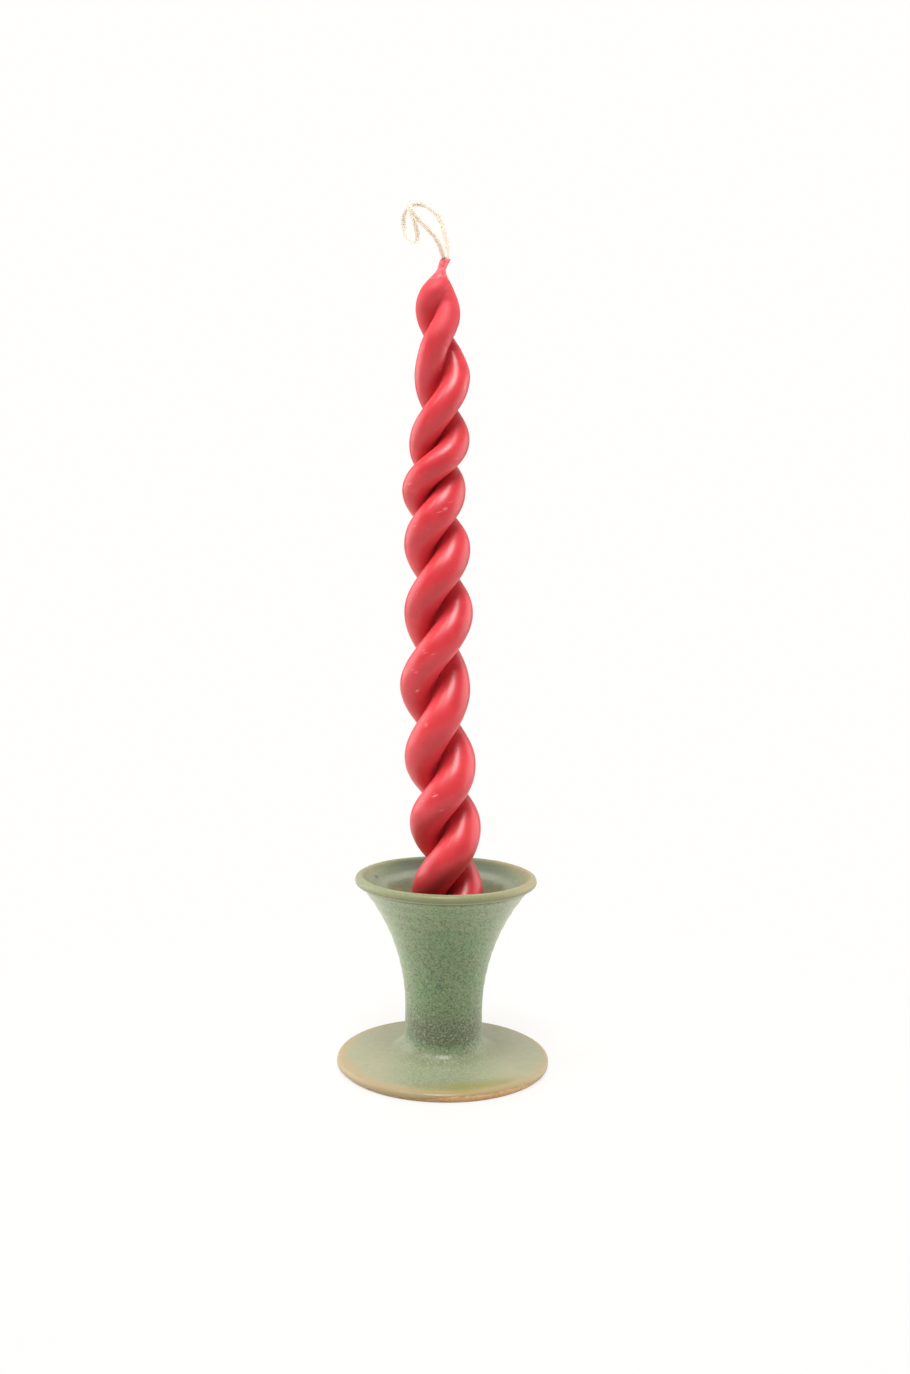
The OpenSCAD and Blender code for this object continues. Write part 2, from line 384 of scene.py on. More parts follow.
def glaze_material():
    """Matt green glaze, mottled and speckled, thin and tan towards its edges, over bare clay, with painted
    shade and painted light in places.
    """
    material, tree, shader = new_material("glaze")
    colour = mix(tree, layer(tree, *PATCHES), SAGE, BRIGHT_GREEN)
    colour = mix(tree, layer(tree, *CLOUDS), colour, GREY_BROWN)
    # Painted shade on the lower stem under the flare, and on the foot's front
    colour = mix(tree, mark(tree, "painted_shade"), colour, PAINTED_SHADE)
    colour = mix(tree, layer(tree, *CRYSTALS), colour, PALE_CRYSTAL)
    colour = mix(tree, layer(tree, *SPECKS), colour, DARK_SPECK)
    colour = mix(tree, mark(tree, "lip"), colour, LIP_OLIVE)
    # Pale thin glaze on the foot, partly painted light, and painted light on the dish's sides
    colour = mix(tree, mark(tree, "pale"), colour, PALE_GLAZE_AND_PAINTED_LIGHT)
    colour = mix(tree, mark(tree, "yellow"), colour, YELLOW_GREEN)
    colour = mix(tree, mark(tree, "wall"), colour, DISH_GREY)
    # The ledge's pale band is partly thin glaze, partly a painted highlight
    colour = mix(tree, mark(tree, "ledge"), colour, LEDGE_PALE_AND_HIGHLIGHT)
    # The brown floor is partly pooled glaze, partly painted shade near the candle
    colour = mix(tree, mark(tree, "dish"), colour, DISH_BROWN_AND_SHADE)
    # Darker in the groove beneath the lip: partly pooled glaze, partly painted shade
    colour = mix(tree, mark(tree, "crease"), colour, CREASE_POOL_AND_SHADE)
    colour = mix(tree, mark(tree, "rim"), colour, RIM_TAN)
    clay = mix(tree, layer(tree, *CLAY_GRAIN), CLAY, CLAY_PALE)
    colour = mix(tree, mark(tree, "bare"), colour, clay)
    # Painted shade in the pinhole
    colour = mix(tree, mark(tree, "pit"), colour, PIT_SHADE)
    put(shader.inputs["Base Color"], colour)
    roughness = between(tree, grain(tree, *GLAZE_ROUGH), *GLAZE_ROUGH_NOISE, *GLAZE_ROUGH_RANGE)
    put(shader.inputs["Roughness"], roughness)
    put(shader.inputs["Normal"], bump(tree, grain(tree, *CRYSTALS[:2]), *GLAZE_BUMP))
    shader.inputs["Specular IOR Level"].default_value = 0.3
    put(shader.inputs["Sheen Weight"], mark(tree, "sheen"))
    shader.inputs["Sheen Roughness"].default_value = 0.6
    shader.inputs["Sheen Tint"].default_value = (*SHEEN, 1)
    shader.inputs["Coat Weight"].default_value = 0.2
    shader.inputs["Coat Roughness"].default_value = 0.18
    return material


WAX_RED = (0.640, 0.042, 0.054)
WAX_DEEP = (0.570, 0.033, 0.044)
WAX_BLOOM = (0.850, 0.420, 0.420)
NECK_PAINTED_GLOW = (0.950, 0.105, 0.120)
# Layers of noise, grain and bumps, as for the glaze
WAX_CLOUDS = (11, 3, 0.4, 0.65, 1)
DUST = (0.7, 2, 0.66, 0.76, 0.16)
WAX_GRAIN = (0.9, 3)
WAX_BUMP = (0.02, 0.5)
# Roughness of the satin wax, and of the matt wax near the tip
SATIN = 0.35
MATT = 0.6
# How far red, green and blue light goes into the wax
WAX_REACH = 2.0
WAX_REACH_SHARES = (1.0, 0.22, 0.18)


def wax_material():
    """Satin red wax, a little see-through, with pale bloom where it is nicked or creased, and painted light
    at the thin neck.
    """
    material, tree, shader = new_material("wax")
    colour = mix(tree, layer(tree, *WAX_CLOUDS), WAX_RED, WAX_DEEP)
    colour = mix(tree, layer(tree, *DUST), colour, WAX_BLOOM)
    # Painted light: the thin wax below the neck brightened, as if lit through
    colour = mix(tree, mark(tree, "thin_and_painted_light"), colour, NECK_PAINTED_GLOW)
    colour = mix(tree, mark(tree, "bloom"), colour, WAX_BLOOM)
    put(shader.inputs["Base Color"], colour)
    put(shader.inputs["Roughness"], between(tree, mark(tree, "matt"), 0, 1, SATIN, MATT))
    put(shader.inputs["Normal"], bump(tree, grain(tree, *WAX_GRAIN), *WAX_BUMP))
    shader.inputs["Subsurface Weight"].default_value = 0.06
    shader.inputs["Subsurface Radius"].default_value = WAX_REACH_SHARES
    shader.inputs["Subsurface Scale"].default_value = WAX_REACH * MM
    shader.inputs["IOR"].default_value = 1.45
    return material


COTTON = (0.670, 0.605, 0.535)
COTTON_SHADE = (0.635, 0.560, 0.480)
# How far light goes into the bare string, and into the wicks that the wax holds
STRING_REACH = 3.0
CORE_REACH = 0.2
COTTON_REACH_SHARES = (1.0, 0.95, 0.85)
FIBRES = (0.6, 3, 0.42, 0.62, 1)
COTTON_BUMP = (0.04, 0.3)


def cotton_material(name, reach):
    """Soft cotton string, waxed, so that light goes some way into it: the reach, in millimetres."""
    material, tree, shader = new_material(name)
    put(shader.inputs["Base Color"], mix(tree, layer(tree, *FIBRES), COTTON, COTTON_SHADE))
    put(shader.inputs["Normal"], bump(tree, grain(tree, *FIBRES[:2]), *COTTON_BUMP))
    shader.inputs["Roughness"].default_value = 0.85
    shader.inputs["Specular IOR Level"].default_value = 0.2
    shader.inputs["Subsurface Weight"].default_value = 1.0
    shader.inputs["Subsurface Radius"].default_value = COTTON_REACH_SHARES
    shader.inputs["Subsurface Scale"].default_value = reach * MM
    return material


# Wick loop

# Rings of the string's mesh from one point of its route to the next
LOOP_RINGS = 14
LOOP_SIDES = 24
PLIES = 3
PLY_PITCH = 5.0
PLY_DEPTH = 0.08


def neck_point(start):
    """Where the wick leaves the neck of the taper that starts at that angle."""
    turn = math.radians(start + knot_angle[-1])
    return tip + NECK_R * np.array([math.cos(turn), math.sin(turn), 0])


def carried_normals(ways):
    """A normal at each step of a route, carried along so that the tube doesn't twist."""
    normals = []
    normal = np.array([1.0, 0, 0])
    for way in ways:
        normal = normal - (normal @ way) * way
        normal = normal / np.linalg.norm(normal)
        normals.append(normal)
    return np.array(normals)


def make_wick_loop(material):
    """Twisted string, from one neck round to the other."""
    route = np.array([neck_point(STARTS[0]), *(tip + np.array(LOOP_POINTS)), neck_point(STARTS[1])])
    t = np.linspace(0, len(route) - 1, (len(route) - 1) * LOOP_RINGS + 1)
    middles = smooth(route, t)
    ways = unit(np.gradient(middles, axis=0))
    # The string stands upright in both necks
    ways[0] = (0, 0, 1)
    ways[-1] = (0, 0, -1)
    normals = carried_normals(ways)
    sides = np.cross(ways, normals)
    run = np.concatenate([[0], np.cumsum(np.linalg.norm(np.diff(middles, axis=0), axis=1))])
    psi = np.linspace(0, 2 * math.pi, LOOP_SIDES, endpoint=False)[None, :]
    twist = 2 * math.pi * run[:, None] / PLY_PITCH
    ply = np.abs(np.sin(PLIES * (psi - twist) / 2))
    r = WICK_R * (1 - PLY_DEPTH * (1 - ply))
    circle = np.cos(psi)[..., None] * normals[:, None] + np.sin(psi)[..., None] * sides[:, None]
    points = middles[:, None] + r[..., None] * circle
    faces = tube_faces(len(t), LOOP_SIDES) + end_faces(len(t), LOOP_SIDES)
    piece = make_piece("wick_string", points, faces, material, "candle")
    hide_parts("wick_loop")


# Candle

# Steps of the table that turns heights into stretches of the twist
TABLE_STEPS = 4000
# How far to both sides the twist's slope is measured, in stretches
SLOPE_REACH = 0.01
WAX_SIDES = 96
# Shares of a taper's outline that are round, and hollow where it runs into its twin
ROUND_SHARE = 0.75
HOLLOW_SHARE = 0.17
HOLLOW_R = 2.6
# The wider hollow near the tip, and how far below the tip it starts and is full
HOLLOW_TIP = 5.0
HOLLOW_START = 28.0
HOLLOW_FULL = 15.0
SEAM_GAP = 0.01
# Distances from the seam at which lumps and nicks start, and at which they are full
FREE = (0.05, 1.2)
RING_STEP = 0.4
TIP_RING_STEP = 0.14
TIP_LENGTH = 14.0
CHANNEL_SIDES = 16
CHANNEL_RINGS = 12
LUMP_SIZE = 13.0
LUMP_DEPTH = 0.16
RIPPLE_SIZE = 4.5
RIPPLE_DEPTH = 0.05

# The thin cap of wax that fuses both tapers at the tip, down to a ragged line
CAP_H = 7.4
CAP_WAVE = 0.7
CAP_WAVE_SIZE = 2.2
CAP_WAVE_STRETCH = np.array([1, 1, 0.1])
CAP_EDGE = 0.5
CAP_SKIN = 0.07
CAP_ROUGH = 0.06
CAP_LUMP_SIZE = 1.1
CAP_LUMP_STRETCH = np.array([1, 1, 1.6])
# Paleness of the cap's edge, of all of the cap, and of its lumps, and the lumps' heights at which each grows
EDGE_PALE = 0.45
EDGE_LUMPS = (-0.2, 0.4)
CAP_PALE = 0.1
LUMP_PALE = 0.3
PALE_LUMPS = (0.1, 0.6)
# How far below the tip the tapers start to press into one round, and where they are one
PRESS_START = 22.0
PRESS_FULL = 4.5
# How far the skins' twist runs ahead of the wicks' near the tip: heights from the tip, and each one's lead
LEAD_Z = [-30, -23, -18.5, -15, -12, -9.5, -6.5, -3.5]
LEAD = [0, 9, 20, 22, 6, -12, -10, 0]
# Height below the neck over which the wax thins and its colour is brightened: painted light, as if lit
# through the thin wax
PAINTED_GLOW_H = 3.0
# Where the skins are slimmer than the tapers: how far below the tip, over what height, and how much
SLIM = [(6.2, 2.2, 0.17), (19.0, 5.5, 0.08)]
# How far below the tip the wax starts to be more matt, and where it is fully so
MATT_START = 34.0
MATT_FULL = 20.0
# How far the fused neck is pressed flat: its half-width over the radius of each neck
NECK_FLAT = 1.3
# The neck's upper edge, which is torn down apart from a tongue of wax that leans out to the right
TORN_DOWN = 0.45
TONGUE_UP = 0.3
TONGUE_OUT = 0.6
TONGUE_WIDTH = 65
TONGUE_H = 2.6
TONGUE_TAPER = STARTS[0]
RAGGED = 0.25
RAGGED_SIZE = 0.7

# How near to a pixel a point of the skin counts as shown there, in pixels
NEAR_PIXEL = 1.6
# Nicks seen in the wax: column and row in the photograph, then length, width, tilt, depth and paleness
NICKS = [
    (441, 370, 0.8, 0.4, 55, 0.10, 0.35),
    (445, 508, 0.9, 0.55, 75, 0.20, 1.0),
    (440, 511, 0.35, 0.3, 0, 0.08, 0.6),
    (451, 501, 0.6, 0.4, 30, 0.08, 0.45),
    (409, 485, 0.6, 0.4, 60, 0.10, 0.7),
    (414, 525, 0.5, 0.35, 60, 0.06, 0.4),
    (459, 459, 0.45, 0.4, 0, 0.08, 0.45),
    (416, 692, 0.9, 0.65, 35, 0.22, 1.0),
    (423, 649, 1.2, 0.35, 60, 0.08, 0.45),
    (424, 652, 0.9, 0.3, 20, 0.06, 0.4),
    (432, 655, 0.4, 0.3, 40, 0.06, 0.45),
    (425, 724, 1.4, 0.28, 92, 0.10, 0.5),
    (433, 796, 0.7, 0.35, 45, 0.12, 0.8),
    (436, 794, 0.6, 0.3, 55, 0.12, 0.8),
    (442, 811, 0.7, 0.28, 45, 0.08, 0.5),
    (403, 671, 2.4, 0.4, 80, 0.12, 0.35),
    (416, 673, 0.7, 0.3, 110, 0.06, 0.4),
    (411, 670, 0.4, 0.35, 0, 0.06, 0.4),
    (422, 800, 1.0, 0.3, 50, 0.06, 0.35),
]
# A flake knocked out of the right-hand edge, and the ridge pushed up beside it
KNOCKS = [
    (469, 384, 3.4, 1.5, 85, 0.26, 0.0),
    (466, 386, 3.2, 0.7, 78, -0.14, 0.3),
]


def taper_r(z):
    """Radius of each taper, which is also how far its middle stands off the twist's axis."""
    full = (TAPER_D - THINNING * ((z - CANDLE_Z) / WAX_H) ** THINNING_POWER) / 2
    s = np.clip((z - tip[2] + NECK_H + SHOULDER_H) / SHOULDER_H, 0, 1)
    return NECK_R + (full - NECK_R) * (1 - s * s)


def heights_to_stretches(z):
    """How many stretches up each height is."""
    table = np.linspace(0, stretches, TABLE_STEPS)
    return np.interp(z, smooth(knot_z, table), table)


def cap_share(points):
    """How far each point is under the cap at the tip, from 0 to 1."""
    edge = tip[2] - CAP_H + CAP_WAVE * rough(points * CAP_WAVE_STRETCH, CAP_WAVE_SIZE, seed=3)
    return step(points[..., 2], edge, edge + CAP_EDGE)


def wick_angle(t):
    """How far the wicks are twisted, t stretches up."""
    return smooth(knot_angle, t)


def skin_angle(t):
    """How far the skins are twisted, t stretches up."""
    lead_t = np.interp(smooth(knot_z, t) - tip[2], LEAD_Z, range(len(LEAD_Z)))
    return wick_angle(t) + smooth(LEAD, lead_t)


def wound(angle, t, out, across):
    """Level slices of a rod that leans along its helix, from its own outline, t stretches up."""
    low = np.maximum(t - SLOPE_REACH, 0)
    high = np.minimum(t + SLOPE_REACH, stretches)
    rise = smooth(knot_z, high) - smooth(knot_z, low)
    rate = np.radians(angle(high) - angle(low)) / rise
    lean = np.arctan(taper_r(smooth(knot_z, t)) * rate)[:, None]
    bend = across * np.sin(lean) * rate[:, None]
    side = across * np.cos(lean)
    return out * np.cos(bend) - side * np.sin(bend), out * np.sin(bend) + side * np.cos(bend)


def placed(angle, start, t, u, v):
    """Points u out from the twist's axis and v round it, for the taper that starts at that angle."""
    turn = np.radians(start + angle(t))[:, None]
    x = smooth(DRIFT, t)[:, None] + u * np.cos(turn) - v * np.sin(turn)
    y = u * np.sin(turn) + v * np.cos(turn)
    return np.stack([x, y, np.broadcast_to(smooth(knot_z, t)[:, None], x.shape)], axis=-1)


def rod(start, t, sides, r):
    """Level slices of a round rod on a taper's middle line."""
    psi = np.linspace(0, 2 * math.pi, sides, endpoint=False)[None, :]
    middle = taper_r(smooth(knot_z, t))[:, None]
    u, v = wound(wick_angle, t, middle + r * np.cos(psi), r * np.sin(psi))
    return placed(wick_angle, start, t, u, v)


def taper_outline(r, hollow):
    """Out and across from a taper's middle: round, then hollow and flat where it meets its twin."""
    number = np.arange(WAX_SIDES)[None, :]
    half = np.minimum(number, WAX_SIDES - number) * 2 / WAX_SIDES
    way = np.where(number * 2 <= WAX_SIDES, 1, -1)
    reach = np.sqrt((r + hollow) ** 2 - r ** 2)
    tangent = np.arccos(-r / (r + hollow))
    psi = tangent * half / ROUND_SHARE
    curl = np.clip((half - ROUND_SHARE) / HOLLOW_SHARE, 0, 1)
    turn = (tangent - math.pi) * (1 - curl) - math.pi / 2 * curl
    inward = np.clip((half - ROUND_SHARE - HOLLOW_SHARE) / (1 - ROUND_SHARE - HOLLOW_SHARE), 0, 1)
    is_round = half <= ROUND_SHARE
    out = np.where(is_round, r * np.cos(psi), hollow * np.cos(turn) - r)
    across = np.where(is_round, r * np.sin(psi), (reach + hollow * np.sin(turn)) * (1 - inward))
    return out, across * way


def pressed(z):
    """How far the tapers are pressed into one round at each height, from 0 to 1."""
    return step(z, tip[2] - PRESS_START, tip[2] - PRESS_FULL)


def half_round(z):
    """Out and across from the twist's axis, for half of the round that both tapers are pressed into."""
    number = np.arange(WAX_SIDES)[None, :]
    half = np.minimum(number, WAX_SIDES - number) * 2 / WAX_SIDES
    way = np.where(number * 2 <= WAX_SIDES, 1, -1)
    outer_share = ROUND_SHARE + HOLLOW_SHARE
    theta = math.pi / 2 * np.minimum(half / outer_share, 1)
    inward = np.clip((half - outer_share) / (1 - outer_share), 0, 1)
    r = taper_r(z)[:, None]
    flat = step(z, tip[2] - NECK_H - END_H / 2, tip[2] - NECK_H)[:, None]
    wide = 2 + (NECK_FLAT - 2) * flat
    return 2 * r * np.cos(theta), wide * r * np.sin(theta) * (1 - inward) * way


def taper_skin(start, t):
    """Level slices of a taper, and how free each point is of its twin, from 0 to 1."""
    z = smooth(knot_z, t)
    r = taper_r(z)[:, None]
    near_tip = step(z, tip[2] - HOLLOW_START, tip[2] - HOLLOW_FULL)[:, None]
    out, across = taper_outline(r, HOLLOW_R + (HOLLOW_TIP - HOLLOW_R) * near_tip)
    u, v = wound(skin_angle, t, r + out, across)
    half_u, half_v = half_round(z)
    press = pressed(z)[:, None]
    u = np.maximum(u + press * (half_u - u), 2 * SEAM_GAP)
    v = v + press * (half_v - v)
    slim = np.ones_like(z)
    for below, high, much in SLIM:
        slim = slim - much * np.exp(-((z - tip[2] + below) / high) ** 2)
    u = u * slim[:, None]
    v = v * slim[:, None]
    return placed(skin_angle, start, t, u, v), step(u, *FREE)


def seen_at(pixel, skins):
    """The taper and the point of its skin that a pixel of the photograph shows."""
    best = None
    for number, points in enumerate(skins):
        col, row, depth = to_pixels(points)
        near = np.hypot(col - pixel[0], row - pixel[1]) < NEAR_PIXEL
        if not near.any():
            continue
        shown = np.argmin(np.where(near, depth, np.inf))
        found = depth.flat[shown]
        if best is None or found < best[0]:
            best = (found, number, points.reshape(-1, 3)[shown])
    return best[1], best[2]


def wear(skins):
    """How far nicks, knocks and the cap move each point outwards, and how pale they make it."""
    moves = [np.zeros(s.shape[:2]) for s in skins]
    blooms = [np.zeros(s.shape[:2]) for s in skins]
    for col, row, length, width, tilt, depth, pale in NICKS + KNOCKS:
        number, place = seen_at((col, row), skins)
        away = skins[number] - place
        c, s = math.cos(math.radians(tilt)), math.sin(math.radians(tilt))
        along = (away[..., 0] * c + away[..., 2] * s) / (length / 2)
        across = (away[..., 2] * c - away[..., 0] * s) / (width / 2)
        deep = away[..., 1] / length
        hit = np.exp(-(along ** 2 + across ** 2 + deep ** 2))
        moves[number] -= depth * hit
        blooms[number] += pale * hit
    for i, skin in enumerate(skins):
        cap = cap_share(skin)
        lumps = rough(skin * CAP_LUMP_STRETCH, CAP_LUMP_SIZE, seed=7)
        moves[i] += cap * (CAP_SKIN + CAP_ROUGH * lumps)
        # Half-way through its edge the cap is palest
        edge = 4 * cap * (1 - cap)
        blooms[i] += EDGE_PALE * edge * step(lumps, *EDGE_LUMPS)
        blooms[i] += cap * (CAP_PALE + LUMP_PALE * step(lumps, *PALE_LUMPS))
    return moves, [np.clip(b, 0, 1) for b in blooms]


def torn(skin, start):
    """How the neck's torn upper edge moves each point: a ragged line, with a tongue on the right."""
    near_top = step(skin[..., 2], tip[2] - TONGUE_H, tip[2])
    turn = np.arctan2(skin[..., 1] - neck_point(start)[1], skin[..., 0] - neck_point(start)[0])
    tongue = near_top * np.exp(-(turn / math.radians(TONGUE_WIDTH)) ** 2) * (start == TONGUE_TAPER)
    up = TONGUE_UP * tongue + TORN_DOWN * (tongue - near_top)
    up = up + RAGGED * near_top * rough(skin, RAGGED_SIZE, seed=8)
    return np.stack([TONGUE_OUT * tongue, np.zeros_like(up), up], axis=-1)


def make_tapers(material):
    """Both tapers, pressed together, with the wick's channel in each."""
    body_z = np.arange(CANDLE_Z, tip[2] - TIP_LENGTH, RING_STEP)
    tip_z = np.arange(tip[2] - TIP_LENGTH, tip[2], TIP_RING_STEP)
    t = heights_to_stretches(np.concatenate([body_z, tip_z, [tip[2]]]))
    skins, free = zip(*(taper_skin(start, t) for start in STARTS))
    moves, blooms = wear(skins)
    channel_t = np.linspace(0, stretches, stretches * CHANNEL_RINGS + 1)
    for name, start, skin, loose, move, bloom in zip("ab", STARTS, skins, free, moves, blooms):
        normals = grid_normals(skin)
        waves = LUMP_DEPTH * rough(skin, LUMP_SIZE, seed=1) + RIPPLE_DEPTH * rough(skin, RIPPLE_SIZE, seed=2)
        size = taper_r(skin[..., 2]) / TAPER_D * 2
        moved = skin + (loose * (move + waves * size))[..., None] * normals
        # The foot is cut level
        moved[0, :, 2] = CANDLE_Z
        moved += torn(skin, start)
        channel = rod(start, channel_t, CHANNEL_SIDES, WICK_R)
        channel += torn(channel, start)
        first = moved.shape[0] * WAX_SIDES
        faces = tube_faces(len(t), WAX_SIDES)
        faces += tube_faces(len(channel_t), CHANNEL_SIDES, first, inside=True)
        faces += ring_ends(len(t), len(channel_t), first)
        points = np.concatenate([moved.reshape(-1, 3), channel.reshape(-1, 3)])
        pale = np.concatenate([bloom.ravel(), np.zeros(channel.shape[0] * CHANNEL_SIDES)])
        height = points[:, 2] - tip[2]
        marks = {
            "bloom": pale,
            "matt": step(height, -MATT_START, -MATT_FULL),
            "thin_and_painted_light": step(height, -NECK_H - PAINTED_GLOW_H, -NECK_H),
        }
        piece = make_piece(f"wax_taper_{name}", points, faces, material, "candle", marks)
        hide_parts(f"taper_{name}")


def ring_ends(rings, channel_rings, first):
    """Ring-shaped ends of a taper, between its skin and its channel."""
    faces = []
    share = WAX_SIDES // CHANNEL_SIDES
    top = (rings - 1) * WAX_SIDES
    channel_top = first + (channel_rings - 1) * CHANNEL_SIDES
    for i in range(CHANNEL_SIDES):
        after = (i + 1) % CHANNEL_SIDES
        outer = [(i * share + k) % WAX_SIDES for k in range(share + 1)]
        faces.append((first + i, first + after, *reversed(outer)))
        faces.append((channel_top + after, channel_top + i, *(top + k for k in outer)))
    return faces


# Holder

# Pairs of values are those at which something starts and is full
HOLDER_SIDES = 360
# Spacing of the outline's points on flats, in the socket, on plain curves and on tight ones
FLAT = 2.4
BORE_STEP = 1.6
COARSE = 0.8
FINE = 0.22
# Radii of the faces that close the underside and the socket's floor
UNDERSIDE_R = 8.0
SEAT_R = 4.0

# Throwing rings, which start on the foot's edge and end at the socket's mouth
THROW_PITCH = 4.2
THROW_DEPTH = 0.05
THROW_START = 1.0
BORE_MARGIN = 0.5
# The foot's uneven edge, drawn in a little on the whole, and its front, which bulges out a little
FOOT_WAVE = 0.28
FOOT_WAVE_SIZE = 16
FOOT_WAVE_START = 30.0
FOOT_IN = 0.2
FOOT_FRONT = 0.45
FOOT_FRONT_Y = (2, 28)
LEVEL = np.array([1, 1, 0])
# The lip, by its depth below the top and its radius, and how much thicker it is than the plain round
LIP_DEPTH = (3.2, 1.6)
LIP_RADIUS = (27.5, 29.8)
LIP_BEAD = 0.35
LIP_WAVE = 0.12
LIP_WAVE_SIZE = 14
# The glaze's lower edge: its height, its lift round one angle, and its ragged line over the bare clay
GLAZE_Z = 0.95
GLAZE_LIFT = 1.6
LIFT_ANGLE = -66
LIFT_HALF = 31
LIFT_POWER = 6
GLAZE_RAGGED = 0.35
GLAZE_RAGGED_SIZE = 1.6
GLAZE_RAGGED_STRETCH = np.array([1, 1, 0.05])
GLAZE_EDGE = 0.15
GLAZE_SKIN = 0.15
GLAZE_SKIN_Z = (0, 0.4)
BARE_R = 20.0
BARE_Z = 0.05
# A pinhole in the dish, darkened with painted shade, and the part of the dish that the photograph shows
PIT_PIXEL = (377, 877)
PIT_SIZE = 0.75
PIT_DEPTH = 0.35
DISH_SEEN_DEPTH = 9.0
DISH_SEEN_Y = -25.0
# The groove beneath the lip, where glaze has pooled, whose darker colour is partly painted shade
CREASE_SIZE = 0.6
CREASE_DEPTH = 0.2

# The painted shade on the lower stem, under the flare, which is darkest at one height and in front
DUSK_SHARE = 0.85
DUSK_Z = 15.0
DUSK_SIZE = 8.0
DUSK_START = 8.0
DUSK_FULL = 11.5
DUSK_FRONT = (-4, 10)
# The lip's olive, and how tan its right-hand side is
LIP_SHARE = 0.75
LIP_MOTTLE = 0.25
LIP_MOTTLE_SIZE = 7
LIP_TAN = 0.4
LIP_TAN_X = (5, 28)
# Sheen of the matt glaze in the dish, at the foot and beneath the lip, to which it grows with height
DISH_SHEEN = 0.05
FOOT_SHEEN = 0.15
FLARE_SHEEN = 0.75
LIP_DULL = 0.7
# The dish: a brown floor, partly painted shade near the candle, a pale ledge, partly a painted highlight, and
# a grey wall with painted light on its sides, by radius and by distance aside
DISH_RAGGED = 0.8
DISH_RAGGED_SIZE = 5
BROWN_SHARE = 0.85
BROWN_OUT = (19, 22)
LEDGE_SHARE = 0.7
LEDGE_IN = (20, 22)
LEDGE_OUT = (23.5, 26)
WALL_SHARE = 0.85
WALL_OUT = (28.5, 30)
SIDE_PAINTED_LIGHT = 0.6
SIDE_IN = (21, 27)
SIDE_X = (19, 28)
# Pale thin glaze on the foot, in front and aside, partly painted light, and how much painted shade darkens
# the front, up to where the stem's painted shade starts
THIN_FRONT = 0.35
THIN_SIDE = 0.95
THIN_RAGGED = 3
THIN_RAGGED_SIZE = 12
ASIDE_X = (6, 26)
ASIDE_Y = (-5, 15)
FOOT_PAINTED_SHADE = 0.55
FILLET_LOW = 7.0
FOOT_MARGIN = 1.0
# Yellow glaze pooled at the foot's front right, and the foot's tan rim, which is wider on the left
POOL_SHARE = 0.75
POOL_RAGGED = 6
POOL_RAGGED_SIZE = 10
POOL_X = (-12, 6)
POOL_FRONT = (20, 29)
POOL_RADIUS = (28, 33.5)
RIM_SHARE = 0.8
RIM_R = 33.8
RIM_RAGGED = 1.2
RIM_WIDER = 1.2
RIM_WIDER_X = (-5, 25)
RIM_FADE = 3.5


def polar(degrees):
    """The point at that angle on a circle of radius 1."""
    return np.array([math.cos(math.radians(degrees)), math.sin(math.radians(degrees))])


def line(a, b, spacing):
    """Points from a up to, but not including, b."""
    count = max(1, round(np.linalg.norm(np.subtract(b, a)) / spacing))
    return [np.add(a, np.subtract(b, a) * i / count) for i in range(count)]


def arc(centre, radius, start, end, spacing):
    """Points round an arc from one angle up to, but not including, another."""
    count = max(2, round(math.radians(abs(end - start)) * radius / spacing))
    return [np.add(centre, radius * polar(start + (end - start) * i / count)) for i in range(count)]


